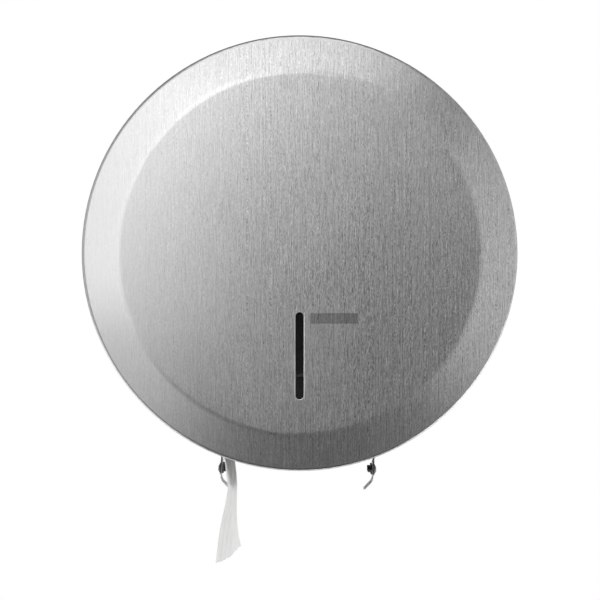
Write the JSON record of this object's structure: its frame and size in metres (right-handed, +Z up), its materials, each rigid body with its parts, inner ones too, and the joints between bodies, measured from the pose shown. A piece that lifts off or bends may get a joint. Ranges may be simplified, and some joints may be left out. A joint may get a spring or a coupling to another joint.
{
  "type": "jumbo toilet roll dispenser",
  "caption": "Round wall-mounted dispenser of brushed stainless sheet for a jumbo toilet roll, with a side-hinged locking lid, level slot, saw-toothed tear blades and a hanging paper tail.",
  "frame": {"origin": "centre of the back, in the plane where the drum stands against the wall and at the centre of the four wall screw holes", "axes": "+Y into the wall, so the lid faces -Y; +X to the right as seen from the front; +Z up"},
  "size_m": [0.31, 0.128, 0.3756],
  "materials": {
    "brushed_sheet": "satin",
    "plain_steel": "satin",
    "turned_steel": "satin",
    "plated_lock": "gloss",
    "spring_steel": "satin",
    "smoked_window": "gloss",
    "tissue": "matte",
    "core_board": "matte",
    "hub_plastic": "satin"
  },
  "bodies": {
    "drum": {"back_plate": "brushed_sheet", "drum_wall": "brushed_sheet", "axle_flange": "plain_steel", "flange_rivets": "turned_steel", "axle_rod": "turned_steel", "axle_washer": "turned_steel", "axle_clip": "spring_steel", "tear_blade_left": "brushed_sheet", "tear_blade_right": "brushed_sheet", "blade_screws_left": "turned_steel", "blade_screws_right": "turned_steel", "blade_nuts_left": "turned_steel", "blade_nuts_right": "turned_steel", "hinge_leaf_drum": "plain_steel", "hinge_pin": "turned_steel", "lock_barrel": "plated_lock", "lock_nut": "plain_steel", "paper_tail": "tissue"},
    "lid": {"lid_shell": "brushed_sheet", "hinge_leaf_lid": "plain_steel", "level_window": "smoked_window", "window_holder": "plain_steel", "lock_keeper": "plain_steel"},
    "lock": {"lock_plug": "plated_lock", "lock_cam": "plain_steel", "cam_screw": "turned_steel"},
    "roll": {"paper_roll": "tissue", "core_tube": "core_board", "roll_hub": "hub_plastic"}
  },
  "joints": [
    {"name": "lid_swing", "type": "hinge", "parent": "drum", "child": "lid", "pos_m": [-0.1518, -0.1026, 0], "axis": [0, 0, -1], "range_deg": [0, 90]},
    {"name": "lock_turn", "type": "hinge", "parent": "drum", "child": "lock", "pos_m": [0.1476, -0.09, 0], "axis": [-1, 0, 0], "range_deg": [0, 90]},
    {"name": "roll_spin", "type": "hinge", "parent": "drum", "child": "roll", "pos_m": [0, -0.054, 0], "axis": [0, -1, 0], "continuous": true}
  ]
}
